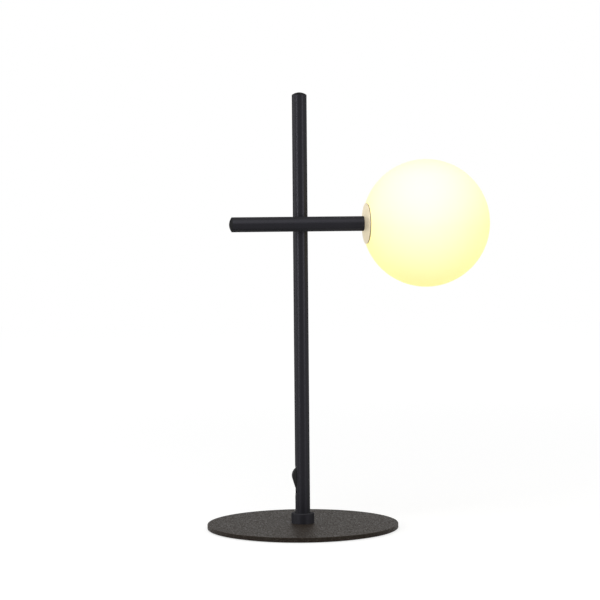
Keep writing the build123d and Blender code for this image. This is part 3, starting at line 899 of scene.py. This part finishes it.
@dataclass
class Foot(Assembly):
    """Plate, pad, collar and the screws that hold the post.

    Attributes:
        pad_thickness: thickness of the foam pad.
        pad_radius: radius of the foam pad.
        pad_edge: radius of its rounded lower edge.
        edge_steps: facets of that edge.
        pad_segments: steps around the pad.
    """

    looks: ClassVar[dict[str, Look]] = {
        "base_plate": Look.PLATE_COAT,
        "base_collar": Look.COLLAR_COAT,
        "collar_screw": Look.ZINC_STEEL,
        "foot_plug": Look.ZINC_STEEL,
        "foot_screw": Look.ZINC_STEEL,
    }

    pad_thickness: float = 0.001
    pad_radius: float = 0.1
    pad_edge: float = 0.0004
    edge_steps: int = 4
    pad_segments: int = 160

    def add_pieces(self, finishes: Finishes) -> None:
        """Add the foam pad.

        Args:
            finishes: materials of the lamp.
        """
        foam = finishes.made[Look.PAD_FOAM]
        piece = mesh_piece("foam_pad", self._pad, foam, Body.STAND)
        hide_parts("base_pad")

    def _pad(self, work: bmesh.types.BMesh) -> None:
        """Turn the pad with a die-cut edge that is slightly rounded.

        Args:
            work: mesh to fill.
        """
        edge, radius, top = self.pad_edge, self.pad_radius, self.pad_thickness
        profile = [(0.0, 0.0), (radius - edge, 0.0)]
        for step in range(1, self.edge_steps):
            angle = math.pi / 2 * step / self.edge_steps
            out, up = edge * math.sin(angle), edge * math.cos(angle)
            profile.append((radius - edge + out, edge - up))
        profile += [(radius, edge), (radius, top), (0.0, top)]
        lathe(work, profile, self.pad_segments)


@dataclass
class Post(Assembly):
    """Upright tube with its domed plug and the cord's bush."""

    looks: ClassVar[dict[str, Look]] = {
        "post_tube": Look.TUBE_COAT,
        "post_plug": Look.PLUG_PLASTIC,
        "cable_bush": Look.HOUSING_PLASTIC,
    }


@dataclass
class Switch(Assembly):
    """Rocker, its pin and the moulded housing with its terminals."""

    looks: ClassVar[dict[str, Look]] = {
        "switch_rocker": Look.SWITCH_PLASTIC,
        "switch_housing": Look.HOUSING_PLASTIC,
        "switch_pin": Look.ZINC_STEEL,
        "switch_terminals": Look.BRASS,
    }


@dataclass
class Crossing(Assembly):
    """Saddle, nipple and half-round nuts between post and arm."""

    looks: ClassVar[dict[str, Look]] = {
        "cross_saddle": Look.TUBE_COAT,
        "cross_nipple": Look.BRASS,
        "post_nut": Look.ZINC_STEEL,
        "arm_nut": Look.ZINC_STEEL,
    }


@dataclass
class Arm(Assembly):
    """Horizontal tube with its domed plug and threaded bush."""

    looks: ClassVar[dict[str, Look]] = {
        "arm_tube": Look.TUBE_COAT,
        "arm_plug": Look.PLUG_PLASTIC,
        "head_bush": Look.ZINC_STEEL,
    }


@dataclass
class Head(Assembly):
    """Cap, carrier with its thread, lampholder, gasket and globe.

    Attributes:
        section: the thread's outline, in parts of its width and of its height.
        carrier_radius: radius of the carrier under its thread.
        thread_height: how far the thread stands out.
        thread_width: width of the thread's foot.
        pitch: rise of the thread in one turn.
        turns: length of the thread.
        thread_start: where the thread starts along the arm.
        steps_per_turn: steps around the carrier.
        fade_steps: steps in which each end runs out.
    """

    looks: ClassVar[dict[str, Look]] = {
        "globe_cap": Look.CHAMPAGNE,
        "globe_carrier": Look.CARRIER_PLASTIC,
        "globe_gasket": Look.SILICONE,
        "globe": Look.OPAL_GLASS,
        "lampholder": Look.STEATITE,
        "lampholder_bracket": Look.ZINC_STEEL,
        "lampholder_contacts": Look.BRASS,
        "bracket_screws": Look.ZINC_STEEL,
        "head_nut": Look.ZINC_STEEL,
        "head_nipple": Look.BRASS,
    }
    section: ClassVar[tuple[tuple[float, float], ...]] = (
        (-0.5, -0.2), (-0.3, 0.7), (0.0, 1.0), (0.3, 0.7), (0.5, -0.2),
    )

    carrier_radius: float = 0.018
    thread_height: float = 0.0003
    thread_width: float = 0.0018
    pitch: float = 0.004
    turns: float = 1.6
    thread_start: float = 0.0724
    steps_per_turn: int = 96
    fade_steps: int = 12

    def add_pieces(self, finishes: Finishes) -> None:
        """Add the carrier's thread.

        Args:
            finishes: materials of the lamp.
        """
        plastic = finishes.made[Look.CARRIER_PLASTIC]
        mesh_piece("carrier_thread", self._thread, plastic, Body.STAND)

    def _thread(self, work: bmesh.types.BMesh) -> None:
        """Sweep a low rounded ridge along a helix, with ends that run out.

        Args:
            work: mesh to fill.
        """
        count = int(self.steps_per_turn * self.turns)
        rows = [self._row(work, step, count) for step in range(count + 1)]
        for low, high in zip(rows, rows[1:]):
            for k in range(len(low)):
                after = (k + 1) % len(low)
                work.faces.new((low[k], low[after], high[after], high[k]))
        work.faces.new(rows[0])
        work.faces.new(rows[-1])

    def _row(self, work: bmesh.types.BMesh, step: int, count: int) -> list[bmesh.types.BMVert]:
        """Place the thread's outline at one step along it.

        Args:
            work: mesh to fill.
            step: number of the step.
            count: number of the last step.

        Returns:
            The outline's points.
        """
        angle = FULL_TURN * step / self.steps_per_turn
        fade = min(1.0, step / self.fade_steps, (count - step) / self.fade_steps)
        middle = self.thread_start + self.pitch * angle / FULL_TURN
        row = []
        for across, out in self.section:
            rise = out * self.thread_height * (fade if out > 0.0 else 1.0)
            radius = self.carrier_radius + rise
            row.append(work.verts.new((
                middle + across * self.thread_width,
                AXIS_Y + radius * math.cos(angle),
                AXIS_Z + radius * math.sin(angle),
            )))
        return row


@dataclass
class LightSource(Assembly):
    """Plug-in bulb."""

    looks: ClassVar[dict[str, Look]] = {
        "bulb_base": Look.BULB_WHITE,
        "bulb_core": Look.BULB_WHITE,
        "bulb_pins": Look.PIN_WIRE,
        "bulb_envelope": Look.BULB_FROST,
    }


@dataclass
class Wiring(Assembly):
    """Inner leads and the splice."""

    looks: ClassVar[dict[str, Look]] = {
        "live_lead": Look.BROWN_SLEEVE,
        "neutral_lead": Look.BLUE_SLEEVE,
        "neutral_splice": Look.BRASS,
    }


@dataclass(frozen=True)
class Softbox:
    """One soft lamp that faces the object.

    Attributes:
        name: the lamp's name.
        azimuth: its place round the post in degrees, 0 in front, positive to the right.
        elevation: its height above the aim, degrees.
        distance: from the aim, metres.
        width, height: its sides, metres.
        power: watts.
    """

    name: str
    azimuth: float
    elevation: float
    distance: float
    width: float
    height: float
    power: float

    def hang(self, aim: Vector) -> None:
        """Add the lamp to the scene.

        Args:
            aim: point that it faces.
        """
        turn, lift = math.radians(self.azimuth), math.radians(self.elevation)
        out = math.cos(lift)
        away = Vector((math.sin(turn) * out, -math.cos(turn) * out, math.sin(lift)))
        data = bpy.data.lights.new(self.name, "AREA")
        data.shape = "RECTANGLE"
        data.size, data.size_y = self.width, self.height
        data.energy = self.power
        turned = (-away).to_track_quat("-Z", "Y").to_matrix().to_4x4()
        lamp = put(self.name, data)
        lamp.matrix_world = Matrix.Translation(aim + away * self.distance) @ turned
        log.info("hung %s", self.name)


def swung(one: Vector, other: Vector, degrees: float) -> tuple[Vector, Vector]:
    """Swing two square directions in their own plane.

    Args:
        one: direction that swings towards the other.
        other: direction square to it.
        degrees: angle of the swing.

    Returns:
        Both directions after the swing.
    """
    cosine, sine = math.cos(math.radians(degrees)), math.sin(math.radians(degrees))
    return one * cosine + other * sine, other * cosine - one * sine


@dataclass
class Studio:
    """Floor, white surround, soft lamps and the camera.

    Attributes:
        azimuth: camera's place round the post, degrees.
        distance: camera's distance from the post, metres.
        height: camera's height, metres.
        focal_px: focal length in pixels of the frame.
        frame_px: side of the frame in pixels.
        sensor_mm: width of the sensor.
        clip_end: furthest distance that the camera sees, metres.
        pan, tilt, roll: small turns of the camera, degrees.
        floor_size: side of the floor, metres.
        floor_cells: cells along each side of the floor.
        floor_albedo: how much light the floor gives back.
        near_glow, far_glow: the floor's own brightness at the post and at glow_reach.
        glow_reach: distance from the post where the floor's brightness is far_glow, metres.
        ambient: strength of the surround's light.
        aim: point that the lamps face.
        softboxes: the lamps.
    """

    azimuth: float = -10.015
    distance: float = 2.255052
    height: float = 0.349172
    focal_px: float = 2059.72
    frame_px: float = 600.0
    sensor_mm: float = 36.0
    clip_end: float = 50.0
    pan: float = -0.0259
    tilt: float = -2.4797
    roll: float = -0.5056
    floor_size: float = 8.0
    floor_cells: int = 8
    floor_albedo: float = 0.4
    near_glow: float = 0.7
    far_glow: float = 0.86
    glow_reach: float = 2.0
    ambient: float = 0.33
    aim: Point = (0.03, 0.0, 0.26)
    softboxes: tuple[Softbox, ...] = (
        Softbox("main_softbox", azimuth=-14.0, elevation=50.0, distance=1.6,
                width=1.6, height=1.6, power=15.6),
        Softbox("left_strip", azimuth=-55.0, elevation=5.0, distance=1.6,
                width=0.3, height=0.78, power=6.2),
        Softbox("right_strip", azimuth=40.0, elevation=5.0, distance=1.6,
                width=0.3, height=0.78, power=5.0),
        Softbox("left_fill", azimuth=-108.0, elevation=8.0, distance=1.8,
                width=0.8, height=0.8, power=6.5),
    )

    def build(self) -> None:
        """Set up floor, world, lamps and camera."""
        self._floor()
        self._world()
        for box in self.softboxes:
            box.hang(Vector(self.aim))
        self._camera()
        bpy.context.scene.view_settings.view_transform = "Standard"

    def _seen(self, graph: Graph) -> bpy.types.NodeSocket:
        """Tell rays that see the studio from rays that light the lamp.

        Args:
            graph: graph of the floor or of the world.

        Returns:
            Socket with 1 for rays that see the studio and 0 for the others.
        """
        path = graph.node("LightPath")
        seen = path.outputs[Ray.CAMERA.value]
        for ray in (Ray.GLOSSY, Ray.TRANSMISSION):
            seen = graph.math("MAXIMUM", seen, path.outputs[ray.value])
        return seen

    def _floor(self) -> None:
        """Lay a pale floor. Its light and own glow add up to white, so it keeps the shadow."""
        work = bmesh.new()
        bmesh.ops.create_grid(
            work, x_segments=self.floor_cells, y_segments=self.floor_cells,
            size=self.floor_size / 2.0)
        mesh = mesh_of("floor", work)
        floor = put("floor", mesh)
        material = bpy.data.materials.new("studio_floor")
        material.use_nodes = True
        graph = Graph(material.node_tree)
        matt = graph.node("BsdfDiffuse", {"Color": rgba((self.floor_albedo,) * 3)})
        away = graph.vector("LENGTH", graph.place()).outputs["Value"]
        glow = graph.span(away, (0.0, self.glow_reach), (self.near_glow, self.far_glow))
        strength = graph.math("MULTIPLY", self._seen(graph), glow)
        white = graph.node("Emission", {"Strength": strength})
        both = graph.node("AddShader", {0: matt.outputs[0], 1: white.outputs[0]})
        graph.node("OutputMaterial", {"Surface": both.outputs[0]})
        mesh.materials.append(material)

    def _world(self) -> None:
        """Surround the lamp with white that lights it softly."""
        world = bpy.data.worlds.new("studio")
        bpy.context.scene.world = world
        world.use_nodes = True
        graph = Graph(world.node_tree)
        light, white = (
            graph.node("Background", {"Color": rgba(WHITE), "Strength": strength})
            for strength in (self.ambient, 1.0)
        )
        shaders = {0: self._seen(graph), 1: light.outputs[0], 2: white.outputs[0]}
        both = graph.node("MixShader", shaders)
        graph.node("OutputWorld", {"Surface": both.outputs[0]})

    def _camera(self) -> None:
        """Place the camera where the photograph was taken from."""
        turn = math.radians(self.azimuth)
        right = Vector((math.cos(turn), math.sin(turn), 0.0))
        ahead = Vector((-math.sin(turn), math.cos(turn), 0.0))
        up = Vector((0.0, 0.0, 1.0))
        place = ahead * -self.distance + up * self.height
        ahead, right = swung(ahead, right, self.pan)
        ahead, up = swung(ahead, up, self.tilt)
        right, up = swung(right, up, self.roll)
        data = bpy.data.cameras.new("photo_camera")
        data.sensor_fit = "HORIZONTAL"
        data.sensor_width = self.sensor_mm
        data.lens = self.focal_px * self.sensor_mm / self.frame_px
        data.clip_end = self.clip_end
        camera = put("photo_camera", data)
        camera.matrix_world = Matrix((
            (right.x, up.x, -ahead.x, place.x),
            (right.y, up.y, -ahead.y, place.y),
            (right.z, up.z, -ahead.z, place.z),
            (0.0, 0.0, 0.0, 1.0),
        ))
        bpy.context.scene.camera = camera


def main() -> None:
    """Build every sub-assembly, then the studio."""
    logging.basicConfig(level=logging.INFO, format="%(name)s: %(message)s")
    finishes = Finishes(Effects())
    for assembly in (
        Foot(), Post(), Switch(), Crossing(), Arm(), Head(), LightSource(), Wiring()
    ):
        assembly.build(finishes)
    Studio().build()


if __name__ == "__main__":
    main()
